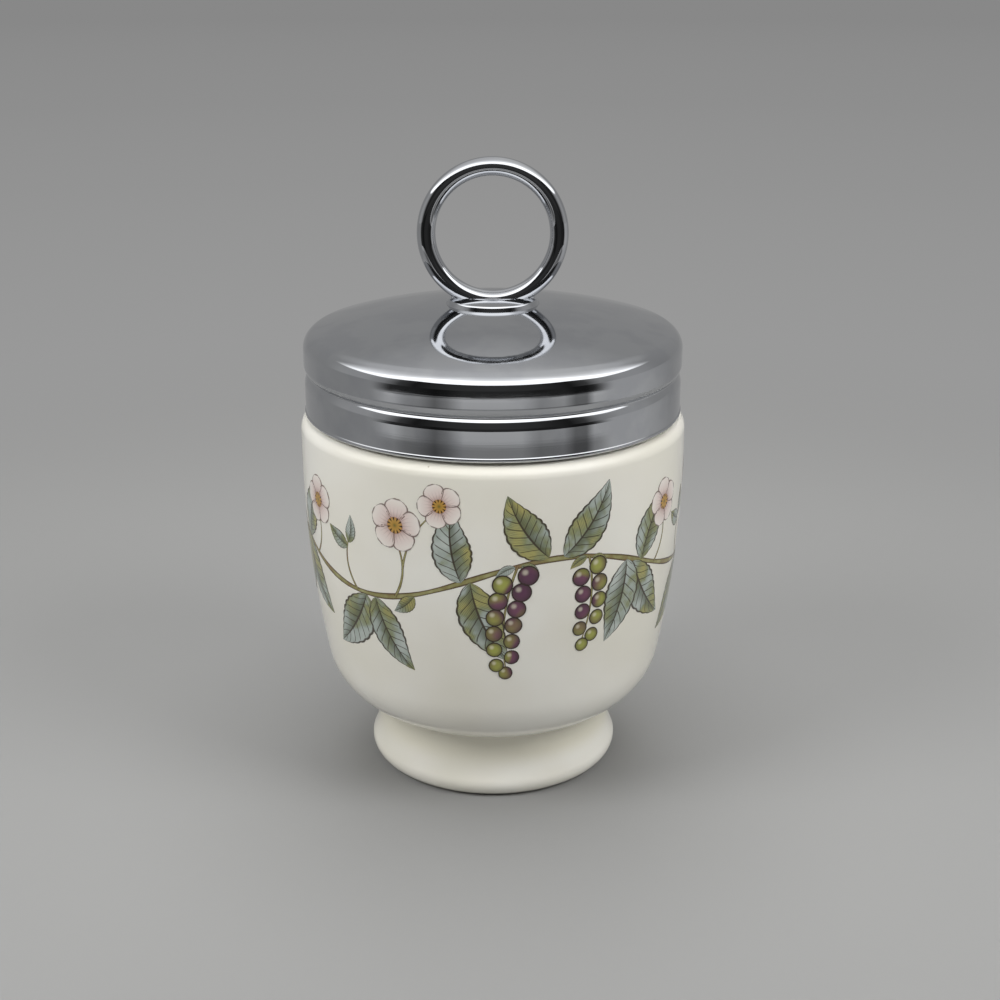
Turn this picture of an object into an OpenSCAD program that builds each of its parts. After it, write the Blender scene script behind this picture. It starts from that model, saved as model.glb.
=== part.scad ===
// Porcelain egg coddler: a footed cup with a moulded screw neck, closed by a chrome-plated
// screw lid that lifts by a ring. Millimetres, +Z up, origin at the centre of the foot's
// standing face. The ring handle lies in the XZ plane and the front is on the -Y side.

/* [Cup body] */
// How much larger the belly is in radius than the lid
belly_step = 0.85; // [0.5:0.05:1.5]
// Depth of the belly below the shoulder, where the side wall stands upright
belly_depth = 6.1; // [4.5:0.1:9]
// Radius of the long arc that draws the side wall in profile
belly_arc_r = 200; // [170:5:260]
// Radius of the short arc that turns the side wall into the underside
bowl_arc_r = 12.5; // [11:0.5:14]
// Height of the shoulder, the ledge that the neck rises from
shoulder_z = 63.1; // [62:0.1:66]
// Rounding of the shoulder's outer edge
shoulder_r = 2.2; // [1.4:0.1:2.6]
// Thickness of the side wall
wall = 3.4; // [2.8:0.1:4]
// Thickness of the bowl's floor over the top of the foot
floor_t = 3.7; // [3:0.1:4.5]
// Radius of the short arc inside, between the floor and the side wall
inner_arc_r = 9; // [7:0.5:11]

/* [Cup foot] */
// Height of the foot, from the table to the lowest point of the bowl
foot_h = 10.9; // [9.5:0.1:12]
// Largest radius of the foot, at its rounded rim
foot_r = 21.9; // [21.3:0.1:23]
// Rounding of the foot's rim
foot_roll_r = 2.4; // [1.8:0.1:2.8]
// How much the foot is drawn in at its waist
waist_in = 1.5; // [1:0.1:2.1]
// Distance of the waist below the lowest point of the bowl
waist_drop = 1.5; // [0.9:0.1:1.9]
// Width of the flat ring that the cup stands on
stand_w = 1.9; // [1.4:0.1:2.6]
// Rounding between the standing ring and the recess inside it
recess_edge_r = 0.7; // [0.4:0.1:0.9]
// Inward lean of the recess wall, in degrees
recess_draft = 7; // [4:0.5:10]
// Rise of the recess roof towards its middle
recess_dome_h = 1.4; // [0.8:0.1:1.8]
// Thickness of the base between the middle of the recess roof and the floor
base_t = 3.9; // [3.2:0.1:5]

/* [Cup neck] */
// Thickness of the neck's wall
neck_wall = 3.1; // [2.6:0.1:3.6]
// Rounding of the rim's two edges
rim_round = 0.8; // [0.4:0.1:1]
// Fillet where the neck meets the shoulder
neck_fillet_r = 0.9; // [0.5:0.1:0.9]
// Height over which the inside narrows from belly to mouth
throat_h = 9; // [7:0.5:12]

/* [Thread] */
// Rise of the screw in one turn
thread_pitch = 4.5; // [4.2:0.1:5]
// Height of a thread ridge, on the neck and in the lid
ridge_h = 0.7; // [0.6:0.05:0.75]
// Width of a ridge where it leaves its wall
ridge_base_w = 1.8; // [1.5:0.1:2]
// Width of a ridge at its crest
ridge_crest_w = 0.9; // [0.6:0.1:1]
// Turns of ridge on the neck
neck_turns = 1.25; // [1:0.05:1.3]
// Turns of ridge in the lid
lid_turns = 1.2; // [1:0.05:1.3]
// Gap between the crest of a ridge and the wall that it faces
crest_gap = 0.2; // [0.15:0.05:0.3]
// Slack along the axis between the two ridges when the lid is tight
thread_slack = 0.25; // [0.2:0.05:0.5]

/* [Lid shell] */
// Outer radius of the lid's upper band
lid_r = 31.75; // [31.7:0.01:32.1]
// How much smaller the lower band is in radius
band_step = 0.1; // [0:0.05:0.15]
// Thickness of the pressed metal
shell_t = 0.4; // [0.3:0.05:0.45]
// Gap between the lid's lower edge and the cup's shoulder
lid_gap = 0.4; // [0.3:0.1:1]
// Height of the lid's upright side, from its lower edge to the start of the rounding
side_h = 11; // [10.5:0.1:12]
// Rounding between the side and the crown
crown_round_r = 3; // [2.4:0.1:3.4]
// Slope of the crown where the rounding ends, in degrees
crown_slope = 16.5; // [14:0.5:20]
// Height of the groove's bottom above the lid's lower edge
groove_h = 6.9; // [6.6:0.1:7.2]
// Steepness of the groove's two flanks, in degrees
groove_angle = 36; // [30:1:38]
// Arc that eases the lower flank into the lower band
groove_low_r = 3.3; // [2.8:0.1:3.4]
// Arc that eases the upper flank into the upper band
groove_high_r = 2; // [1.6:0.1:2.2]
// Radius of the rolled hem along the lower edge
hem_r = 0.45; // [0.4:0.01:0.5]
// How far the hem stands proud of the lower band
hem_proud = 0.15; // [0.05:0.05:0.2]

/* [Lid insides] */
// Thickness of the threaded band
band_t = 0.4; // [0.35:0.05:0.5]
// Gap between the threaded band and what holds it
band_gap = 0.02; // [0.01:0.01:0.05]
// Height of the lip that keeps the threaded band above the hem
band_lip_h = 0.5; // [0.4:0.1:0.8]
// Thickness of the sealing ring at its outer edge
seal_t = 1.4; // [1.2:0.1:2]
// Distance of the sealing ring's inner edge from the edge of the mouth
seal_inset = 0.1; // [0:0.05:0.5]
// Gap round the outer edge of the sealing ring
seal_side_gap = 0.3; // [0.2:0.05:0.5]
// Gap above and below the sealing ring
seal_gap = 0.02; // [0.01:0.01:0.05]

/* [Ring handle] */
// Outer diameter of the ring
ring_d = 25; // [22:0.5:28]
// Diameter of the ring's wire
wire_d = 3.1; // [2.6:0.1:3.6]
// Diameter of the collar under the ring
collar_d = 15.2; // [14:0.1:16.5]
// How far the collar's waist is cut in under its rim
collar_hollow = 1.2; // [0.8:0.1:1.8]
// How far the collar stands above the top of the crown
collar_h = 0.6; // [0.5:0.05:0.9]
// Thickness of the collar's rim
collar_rim_t = 0.55; // [0.45:0.05:0.6]
// Distance that the ring's foot stays inside the collar's rim
ring_inset = 1.05; // [0.6:0.05:1.4]
// Diameter of the rivet's shank
rivet_d = 3; // [2.4:0.1:3.6]
// Diameter of the rivet's closed head, inside the lid
rivet_head_d = 6; // [5:0.1:7]
// Height of the rivet's closed head
rivet_head_h = 1.1; // [0.8:0.1:1.4]
// Outer diameter of the washer under the rivet's head
washer_d = 10; // [8.5:0.5:12]
// Thickness of the washer
washer_t = 0.6; // [0.4:0.1:0.8]
// Gap round the rivet in its holes, and between the pieces that it clamps
rivet_gap = 0.02; // [0.01:0.01:0.05]

/* [Hidden] */
$fn = 96;

// Colours, as seen
porcelain = [0.86, 0.85, 0.79];
chrome = [0.72, 0.73, 0.75];
dull_metal = [0.62, 0.62, 0.60];
seal_rubber = [0.83, 0.80, 0.74];

// Steps in which arcs are drawn, and overlap of pieces that are fused
arc_step = 6;
long_arc_step = 0.9;
sink = 0.15;

// Ridges are drawn in this many steps a turn. Their ends run out over a few of them, to
// just under the wall's surface, and their roots are sunk deeper.
ridge_segments = 48;
run_out_segments = 3;
run_out_sink = 0.1;
ridge_sink = 0.25;

// Points of an arc about [r, z] from angle a to angle b, each followed by its angle
function arc(centre, radius, a, b, step = arc_step) =
    let (n = max(2, ceil(abs(b - a) / step)))
    [for (i = [0 : n])
        let (t = a + (b - a) * i / n)
        [centre[0] + radius * cos(t), centre[1] + radius * sin(t), t]];

function flat(points) = [for (p = points) [p[0], p[1]]];
function reversed(points) = [for (i = [len(points) - 1 : -1 : 0]) points[i]];
// Points moved inwards along their own direction
function inward(points, d) = [for (p = points) [p[0] - d * cos(p[2]), p[1] - d * sin(p[2]), p[2]]];

// Lid outline
lid_z = shoulder_z + lid_gap;
low_band_r = lid_r - band_step;
side_top_z = lid_z + side_h;
crown_angle = 90 - crown_slope;
crown_edge_r = lid_r - crown_round_r * (1 - cos(crown_angle));
crown_edge_z = side_top_z + crown_round_r * sin(crown_angle);
crown_r = crown_edge_r / sin(crown_slope);
crown_centre_z = crown_edge_z - crown_r * cos(crown_slope);
crown_top_z = crown_centre_z + crown_r;
groove_z = lid_z + groove_h;
groove_r = low_band_r - groove_low_r * (1 - cos(groove_angle));
groove_low_z = groove_z - groove_low_r * sin(groove_angle);
groove_high_z = groove_z + groove_high_r * sin(groove_angle)
                + (lid_r - groove_r - groove_high_r * (1 - cos(groove_angle))) / tan(groove_angle);
hem_centre_r = low_band_r + hem_proud - hem_r;
hem_centre_z = lid_z + hem_r;
// Height of the crown's surface, or of one that lies d below it, at radius r
function crown_z(r, d = 0) = crown_centre_z + sqrt((crown_r - d) * (crown_r - d) - r * r);

// Threaded band, held by the shell, and the neck that it screws on
band_outer_r = groove_r - shell_t - band_gap;
band_inner_r = band_outer_r - band_t;
band_low_z = hem_centre_z + hem_r + band_gap;
band_corner = crown_round_r - shell_t - band_gap;
band_corner_r = band_outer_r - (lid_r - crown_round_r);
band_high_z = side_top_z + sqrt(band_corner * band_corner - band_corner_r * band_corner_r);
band_lip_r = low_band_r - shell_t - band_gap;
neck_r = band_inner_r - ridge_h - crest_gap;
mouth_r = neck_r - neck_wall;

// Sealing ring, clamped between the crown and the rim of the neck
seal_outer_r = min(band_inner_r, crown_edge_r) - seal_side_gap;
seal_inner_r = mouth_r + seal_inset;
seal_low_z = crown_z(seal_outer_r, shell_t) - seal_gap - seal_t;
rim_z = seal_low_z - seal_gap;
seal_steps = 6;

// Cup outline: the long belly arc meets the short bowl arc without a corner
belly_r = lid_r + belly_step;
belly_z = shoulder_z - belly_depth;
bowl_centre_z = foot_h + bowl_arc_r;
turn_angle = asin((belly_z - bowl_centre_z) / (belly_arc_r - bowl_arc_r));
belly_centre_r = belly_r - belly_arc_r;
bowl_centre_r = belly_centre_r + (belly_arc_r - bowl_arc_r) * cos(turn_angle);
// The shoulder's rounding sits inside the belly arc
shoulder_centre_z = shoulder_z - shoulder_r;
shoulder_angle = asin((shoulder_centre_z - belly_z) / (belly_arc_r - shoulder_r));
shoulder_centre_r = belly_centre_r + (belly_arc_r - shoulder_r) * cos(shoulder_angle);
// The bowl's underside ends on the waist of the foot
waist_r = foot_r - waist_in;
waist_z = foot_h - waist_drop;
bowl_end_angle = acos((waist_r - bowl_centre_r) / bowl_arc_r);

// Foot outline: the hollow of the waist touches the rounded rim
roll_centre_r = foot_r - foot_roll_r;
roll_drop = waist_z - foot_roll_r;
roll_step = waist_r - roll_centre_r;
waist_arc_r = (roll_drop * roll_drop + roll_step * roll_step - foot_roll_r * foot_roll_r)
              / (2 * (foot_roll_r - roll_step));
foot_touch_angle = atan2(roll_drop, roll_step + waist_arc_r);
recess_r = roll_centre_r - stand_w;
recess_top_z = foot_h + floor_t - base_t;
recess_wall_h = recess_top_z - recess_dome_h - recess_edge_r;
recess_top_r = recess_r - recess_edge_r - recess_wall_h * tan(recess_draft);
recess_dome_r = (recess_top_r * recess_top_r + recess_dome_h * recess_dome_h) / (2 * recess_dome_h);
recess_dome_angle = asin(recess_top_r / recess_dome_r);

// Inside of the cup
floor_z = foot_h + floor_t;
side_inner_r = belly_arc_r - wall;
inner_centre_z = floor_z + inner_arc_r;
inner_turn_angle = asin((belly_z - inner_centre_z) / (side_inner_r - inner_arc_r));
inner_centre_r = belly_centre_r + (side_inner_r - inner_arc_r) * cos(inner_turn_angle);
throat_low_z = shoulder_z - throat_h;
throat_angle = asin((throat_low_z - belly_z) / side_inner_r);
throat_low_r = belly_centre_r + side_inner_r * cos(throat_angle);
throat_steps = 12;

// The two ridges share a pitch. The lid's ridge lies under the neck's, pulling it down.
thread_z = (shoulder_z + rim_z) / 2;
ridge_reach = ridge_h - crest_gap;
ridge_slope = (ridge_base_w - ridge_crest_w) / ridge_h;
ridge_pair_w = (ridge_base_w + ridge_crest_w + (ridge_h - ridge_reach) * ridge_slope) / 2;
neck_ridge_z = thread_z - neck_turns * thread_pitch / 2 + ridge_base_w / 4;
lid_ridge_z = neck_ridge_z - ridge_pair_w - thread_slack;

// Ring handle and its rivet
collar_top_z = crown_top_z + collar_h;
ring_r = ring_d / 2;
ring_foot_r = collar_d / 2 - ring_inset;
ring_z = collar_top_z + sqrt(ring_r * ring_r - ring_foot_r * ring_foot_r);
washer_top_z = crown_z(washer_d / 2, shell_t) - rivet_gap;
washer_low_z = washer_top_z - washer_t;
head_top_z = washer_low_z - rivet_gap;
hole_r = rivet_d / 2 + rivet_gap;
clear = 1;

// Outside of the cup from the neck down to the foot, then back up inside the recess
function cup_outside() = concat(
    [[mouth_r + rim_round, rim_z]],
    arc([neck_r - rim_round, rim_z - rim_round], rim_round, 90, 0, 15),
    arc([neck_r + neck_fillet_r, shoulder_z + neck_fillet_r], neck_fillet_r, 180, 270, 15),
    arc([shoulder_centre_r, shoulder_centre_z], shoulder_r, 90, shoulder_angle),
    arc([belly_centre_r, belly_z], belly_arc_r, shoulder_angle, -turn_angle, long_arc_step),
    arc([bowl_centre_r, bowl_centre_z], bowl_arc_r, -turn_angle, -bowl_end_angle),
    arc([waist_r + waist_arc_r, waist_z], waist_arc_r, 180, 180 + foot_touch_angle, 4),
    arc([roll_centre_r, foot_roll_r], foot_roll_r, foot_touch_angle, -90, 10),
    arc([recess_r, recess_edge_r], recess_edge_r, -90, -180 + recess_draft, 15),
    arc([0, recess_top_z - recess_dome_r], recess_dome_r, 90 - recess_dome_angle, 90, 3));

// Inside of the cup from the middle of its floor up to the mouth
function cup_inside() = concat(
    [[0, floor_z]],
    arc([inner_centre_r, inner_centre_z], inner_arc_r, -90, -inner_turn_angle),
    arc([belly_centre_r, belly_z], side_inner_r, -inner_turn_angle, throat_angle, long_arc_step),
    [for (i = [1 : throat_steps])
        let (u = i / throat_steps)
        [mouth_r + (throat_low_r - mouth_r) * (1 + cos(180 * u)) / 2, throat_low_z + throat_h * u]],
    arc([mouth_r + rim_round, rim_z - rim_round], rim_round, 180, 90, 15));

// Outside of the lid from just above its hem up to the middle of the crown
function lid_outside() = concat(
    [[low_band_r, hem_centre_z, 0]],
    arc([low_band_r - groove_low_r, groove_low_z], groove_low_r, 0, groove_angle, 4),
    [[groove_r, groove_z, 0]],
    arc([lid_r - groove_high_r, groove_high_z], groove_high_r, -groove_angle, 0, 4),
    arc([lid_r - crown_round_r, side_top_z], crown_round_r, 0, crown_angle, 5),
    arc([0, crown_centre_z], crown_r, crown_angle, 90, 1));

// One ridge of thread as a helical sweep on a wall of radius r. A positive height stands
// outwards from the wall and a negative one inwards. Both ends run out into the wall.
module ridge(r, height, start_z, turns) {
    side = sign(height);
    n = round(turns * ridge_segments);
    root = r - side * ridge_sink;
    half_root = ridge_base_w / 2 + ridge_sink * ridge_slope / 2;
    half_crest = ridge_crest_w / 2;
    sections = [for (i = [0 : n])
        let (a = 360 * i / ridge_segments,
             z = start_z + thread_pitch * i / ridge_segments,
             fade = min(1, i / run_out_segments, (n - i) / run_out_segments),
             crest = r + height * fade - side * run_out_sink * (1 - fade))
        [for (q = [[root, -half_root], [crest, -half_crest], [crest, half_crest], [root, half_root]])
            [q[0] * cos(a), q[0] * sin(a), z + q[1]]]];
    m = 4;
    sides = [for (i = [0 : n - 1], j = [0 : m - 1])
        let (p = i * m + j, q = i * m + (j + 1) % m)
        side < 0 ? [p, p + m, q + m, q] : [p, q, q + m, p + m]];
    start = [for (j = [0 : m - 1]) side < 0 ? j : m - 1 - j];
    end = [for (j = [0 : m - 1]) n * m + (side < 0 ? m - 1 - j : j)];
    polyhedron([for (s = sections) each s], concat(sides, [start, end]), convexity = 6);
}

// Fired porcelain: foot, bowl, shoulder and threaded neck in one piece
module cup() {
    color(porcelain) {
        rotate_extrude()
            polygon(concat(flat(cup_outside()), flat(cup_inside())));
        ridge(neck_r, ridge_h, neck_ridge_z, neck_turns);
    }
}

// Pressed and chrome-plated shell with two bands, a groove and a rolled hem
module lid_shell() {
    color(chrome)
        difference() {
            union() {
                rotate_extrude()
                    polygon(concat(flat(lid_outside()),
                                   flat(reversed(inward(lid_outside(), shell_t)))));
                translate([0, 0, hem_centre_z])
                    rotate_extrude()
                        translate([hem_centre_r, 0])
                            circle(r = hem_r, $fn = 32);
            }
            translate([0, 0, crown_centre_z])
                cylinder(r = hole_r, h = crown_r + clear);
        }
}

// Thin band with the lid's thread, held between the hem, the groove and the crown's rounding
module thread_band() {
    color(dull_metal) {
        rotate_extrude()
            polygon([[band_inner_r, band_low_z], [band_lip_r, band_low_z],
                     [band_lip_r, band_low_z + band_lip_h], [band_outer_r, band_low_z + band_lip_h],
                     [band_outer_r, band_high_z], [band_inner_r, band_high_z]]);
        ridge(band_inner_r, -ridge_h, lid_ridge_z, lid_turns);
    }
}

// Sealing ring between the ground rim and the crown, its upper face shaped to the crown
module seal_ring() {
    color(seal_rubber)
        rotate_extrude()
            polygon(concat(
                [[seal_inner_r, seal_low_z], [seal_outer_r, seal_low_z]],
                [for (i = [0 : seal_steps])
                    let (r = seal_outer_r - (seal_outer_r - seal_inner_r) * i / seal_steps)
                    [r, crown_z(r, shell_t) - seal_gap]]));
}

// Wire ring, cut flat where it is brazed to the collar
module ring_handle() {
    color(chrome)
        difference() {
            translate([0, 0, ring_z])
                rotate([90, 0, 0])
                    rotate_extrude()
                        translate([ring_r - wire_d / 2, 0])
                            circle(d = wire_d, $fn = 48);
            translate([-ring_r, -wire_d, collar_top_z - ring_r])
                cube([ring_d, 2 * wire_d, ring_r]);
        }
}

// Turned collar with a rounded rim over a hollowed waist
module ring_collar() {
    waist = collar_d / 2 - collar_hollow;
    waist_low_z = crown_z(waist) + rivet_gap;
    rim_centre = collar_d / 2 - collar_rim_t / 2;
    hollow_h = collar_top_z - collar_rim_t - waist_low_z;
    color(chrome)
        difference() {
            rotate_extrude()
                polygon(concat(
                    [[0, collar_top_z]],
                    flat(arc([rim_centre, collar_top_z - collar_rim_t / 2],
                             collar_rim_t / 2, 90, -90, 15)),
                    [for (i = [1 : 5])
                        [rim_centre - (rim_centre - waist) * sin(15 * i),
                         waist_low_z + hollow_h * cos(15 * i)]],
                    [for (i = [0 : 6])
                        let (r = waist * (1 - i / 6))
                        [r, crown_z(r) + rivet_gap]]));
            translate([0, 0, crown_centre_z])
                cylinder(r = hole_r, h = crown_r + collar_h + clear);
        }
}

// Rivet through collar, crown and washer, closed over inside the lid
module handle_rivet() {
    color(dull_metal)
        union() {
            translate([0, 0, head_top_z - sink])
                cylinder(d = rivet_d, h = collar_top_z - rivet_gap - head_top_z + sink);
            rotate_extrude()
                polygon(concat(
                    [[0, head_top_z]],
                    [for (i = [0 : 9])
                        [rivet_head_d / 2 * cos(10 * i), head_top_z - rivet_head_h * sin(10 * i)]]));
        }
}

// Plain washer that spreads the rivet's load under the crown
module rivet_washer() {
    color(dull_metal)
        translate([0, 0, washer_low_z])
            difference() {
                cylinder(d = washer_d, h = washer_t);
                translate([0, 0, -clear])
                    cylinder(r = hole_r, h = washer_t + 2 * clear);
            }
}

cup();
lid_shell();
thread_band();
seal_ring();
ring_handle();
ring_collar();
handle_rivet();
rivet_washer();
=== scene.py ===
"""Porcelain egg coddler: the finish of every piece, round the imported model.

Lengths are in metres. An outline is a list of (radius, height, direction that the surface faces)
and is turned about the upright axis of the cup. The garland is drawn flat, with x as the distance
round the cup, and is then laid on the wall.
"""
import math

import bmesh
import bpy
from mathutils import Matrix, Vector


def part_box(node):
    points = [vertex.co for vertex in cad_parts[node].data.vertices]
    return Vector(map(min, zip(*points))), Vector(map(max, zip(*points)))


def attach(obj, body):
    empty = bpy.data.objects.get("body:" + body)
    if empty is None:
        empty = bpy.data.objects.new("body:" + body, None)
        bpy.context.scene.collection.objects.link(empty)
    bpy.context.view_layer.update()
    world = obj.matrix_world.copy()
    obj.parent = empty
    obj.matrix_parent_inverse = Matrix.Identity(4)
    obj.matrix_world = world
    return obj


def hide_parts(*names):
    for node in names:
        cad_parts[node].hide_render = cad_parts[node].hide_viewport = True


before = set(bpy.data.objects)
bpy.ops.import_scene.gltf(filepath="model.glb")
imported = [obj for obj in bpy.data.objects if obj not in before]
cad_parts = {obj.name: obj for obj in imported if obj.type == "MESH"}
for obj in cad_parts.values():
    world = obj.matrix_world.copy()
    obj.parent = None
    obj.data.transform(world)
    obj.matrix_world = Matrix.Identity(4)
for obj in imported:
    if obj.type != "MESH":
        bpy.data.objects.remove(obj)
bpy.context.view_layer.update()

MM = 0.001
AROUND = 192
MERGE = 0.002 * MM
SHARP = 40.0
DEGREE = math.pi / 180


# ---------------------------------------------------------------- outlines

def degrees_of(sine):
    return math.degrees(math.asin(sine))


def arc(centre, radius, start, end, step=3.0, hollow=False):
    """Points of an arc in the outline. A hollow one faces its own centre."""
    count = max(2, math.ceil(abs(end - start) / step))
    points = []
    for i in range(count + 1):
        angle = math.radians(start + (end - start) * i / count)
        facing = angle + math.pi if hollow else angle
        points.append((centre[0] + radius * math.cos(angle), centre[1] + radius * math.sin(angle), facing))
    return points


def inward(points, distance):
    """The same outline, moved into the wall."""
    return [(r - distance * math.cos(a), z - distance * math.sin(a), a) for r, z, a in points]


# ---------------------------------------------------------------- modelling

def only(piece):
    """Selects this piece alone."""
    bpy.ops.object.select_all(action="DESELECT")
    piece.select_set(True)
    bpy.context.view_layer.objects.active = piece


def use_modifiers(piece):
    """Applies the piece's modifiers in their order."""
    only(piece)
    for name in [modifier.name for modifier in piece.modifiers]:
        bpy.ops.object.modifier_apply(modifier=name)


def eased(piece, width, segments=3):
    """Rounds the sharp edges of a piece by that much."""
    edge = piece.modifiers.new("edge", "BEVEL")
    edge.width = width
    edge.segments = segments
    edge.angle_limit = math.radians(SHARP)
    use_modifiers(piece)
    return piece


def finished(piece, name, body, material, smooth=35.0):
    """Names a piece, puts its place into its mesh and gives it its finish and its body."""
    only(piece)
    piece.name = name
    piece.data.name = name
    bpy.ops.object.transform_apply(location=True, rotation=True, scale=True)
    bpy.ops.object.shade_smooth_by_angle(angle=math.radians(smooth))
    piece.data.materials.clear()
    piece.data.materials.append(material)
    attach(piece, body)
    return piece


def drawn(outline, closed):
    """The outline as edges in the XZ plane, still in edit mode."""
    bpy.ops.mesh.primitive_plane_add(size=MM, location=(0, 0, 0))
    piece = bpy.context.object
    bpy.ops.object.mode_set(mode="EDIT")
    bpy.ops.mesh.merge(type="CENTER")
    bpy.ops.transform.translate(value=(outline[0][0], 0, outline[0][1]))
    points = outline + outline[:1] if closed else outline
    for (r0, z0, _), (r1, z1, _) in zip(points, points[1:]):
        bpy.ops.mesh.extrude_vertices_move(TRANSFORM_OT_translate={"value": (r1 - r0, 0, z1 - z0)})
    bpy.ops.mesh.select_all(action="SELECT")
    bpy.ops.mesh.remove_doubles(threshold=MERGE)
    return piece


def face_outwards():
    """Turns every face of the piece outwards and leaves edit mode."""
    bpy.ops.mesh.select_all(action="SELECT")
    bpy.ops.mesh.normals_make_consistent(inside=False)
    bpy.ops.object.mode_set(mode="OBJECT")


def turned(outline, closed=True, steps=AROUND):
    """A piece turned about the upright axis from its outline."""
    piece = drawn(outline, closed)
    bpy.ops.mesh.spin(steps=steps, angle=math.tau, center=(0, 0, 0), axis=(0, 0, 1))
    bpy.ops.mesh.select_all(action="SELECT")
    bpy.ops.mesh.remove_doubles(threshold=MERGE)
    face_outwards()
    return piece


# ---------------------------------------------------------------- materials

def linear(hex_colour):
    """An sRGB hex colour as the linear RGBA that the shader takes."""
    parts = [int(hex_colour[i:i + 2], 16) / 255 for i in (1, 3, 5)]
    return [c / 12.92 if c <= 0.04045 else ((c + 0.055) / 1.055) ** 2.4 for c in parts] + [1.0]


def plug(node, **links):
    """Sets a node's inputs. Links are values, outputs or nodes, which stand for their result. They are
    named i0, i1 and so on, or by the input's name with _ for its spaces."""
    for key, value in links.items():
        by_number = key[0] == "i" and key[1:].isdigit()
        socket = node.inputs[int(key[1:])] if by_number else node.inputs[key.replace("_", " ")]
        if isinstance(value, bpy.types.Node):
            value = value.outputs[2 if getattr(value, "data_type", "") == "RGBA" else 0]
        if isinstance(value, bpy.types.NodeSocket):
            node.id_data.links.new(value, socket)
        else:
            socket.default_value = value


def add(tree, kind, settings=None, **links):
    """Adds a node with its own settings and with its links."""
    node = tree.nodes.new("ShaderNode" + kind)
    for key, value in (settings or {}).items():
        setattr(node, key, value)
    plug(node, **links)
    return node


def new_material(name):
    """An empty material with its shader and its output."""
    material = bpy.data.materials.new(name)
    material.use_nodes = True
    material.node_tree.nodes.clear()
    shader = add(material.node_tree, "BsdfPrincipled")
    add(material.node_tree, "OutputMaterial", Surface=shader)
    return material, material.node_tree, shader


def stops(ramp, *colours):
    """Sets a ramp's stops: each is a place and a hex colour or a level of grey."""
    elements = ramp.color_ramp.elements
    elements.remove(elements[0])
    for i, (place, colour) in enumerate(colours):
        stop = elements[0] if i == 0 else elements.new(place)
        stop.position = place
        stop.color = linear(colour) if isinstance(colour, str) else (colour, colour, colour, 1.0)


SMOOTH = {"interpolation_type": "SMOOTHSTEP"}
COLOURS = {"data_type": "RGBA"}
NUMBERS = {"data_type": "FLOAT"}
MULTIPLY = {"operation": "MULTIPLY"}
MULTIPLY_ADD = {"operation": "MULTIPLY_ADD"}
DIVIDE = {"operation": "DIVIDE"}
SUBTRACT = {"operation": "SUBTRACT"}
ABSOLUTE = {"operation": "ABSOLUTE"}
PINGPONG = {"operation": "PINGPONG"}
ARCTAN2 = {"operation": "ARCTAN2"}
MAXIMUM = {"operation": "MAXIMUM"}
LENGTH = {"operation": "LENGTH"}
# The highest level in the room, since a ramp holds no colour over 1
BOX_LEVEL = 2.1


def level_at(tree, value, low, high, levels, unit=1.0):
    """The level at a value, from a list of places and levels between two places. The unit is what one
    place counts for in the value."""
    span = high - low
    share = add(tree, "Math", MULTIPLY_ADD, i0=value, i1=1 / (span * unit), i2=-low / span)
    ramp = add(tree, "ValToRGB", Fac=share)
    stops(ramp, *[((place - low) / span, level / BOX_LEVEL) for place, level in levels])
    return add(tree, "Math", MULTIPLY, i0=ramp, i1=BOX_LEVEL)


def turn_from_front(tree, x, y):
    """The angle from straight ahead, to the right, and its size."""
    front = add(tree, "Math", MULTIPLY, i0=y, i1=-1.0)
    turn = add(tree, "Math", ARCTAN2, i0=x, i1=front)
    return turn, add(tree, "Math", ABSOLUTE, i0=turn)


def off_axis(tree, x, y):
    """The place beside the upright axis, and its distance from it."""
    level = add(tree, "CombineXYZ", i0=x, i1=y, i2=0.0)
    return level, add(tree, "VectorMath", LENGTH, i0=level).outputs["Value"]


def glazed(tree, shader, place):
    """Clear glaze over body and print alike: glossy, with the soft waves that it sets in. It gives the
    highlights their slightly uneven edge."""
    waves = add(tree, "TexNoise", Vector=place, Scale=1 / (8 * MM), Detail=1.0)
    fine = add(tree, "TexNoise", Vector=place, Scale=1 / (1.5 * MM), Detail=1.0)
    height = add(tree, "Math", MULTIPLY_ADD, i0=fine, i1=0.1, i2=waves)
    relief = add(tree, "Bump", Height=height, Strength=1.0, Distance=0.05 * MM)
    gloss = add(tree, "MapRange", Value=fine, From_Min=0.3, From_Max=0.7, To_Min=0.06, To_Max=0.1)
    plug(shader, Normal=relief, Roughness=gloss)
    return gloss


# Heights between which glaze gathers in the waist, and up to which the foot is bare
POOL_STARTS, POOL_FULL, POOL_FADES, POOL_ENDS = 4.5 * MM, 8.0 * MM, 9.5 * MM, 13.5 * MM
BARE_BELOW, GLAZED_ABOVE = 0.2 * MM, 0.4 * MM


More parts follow.
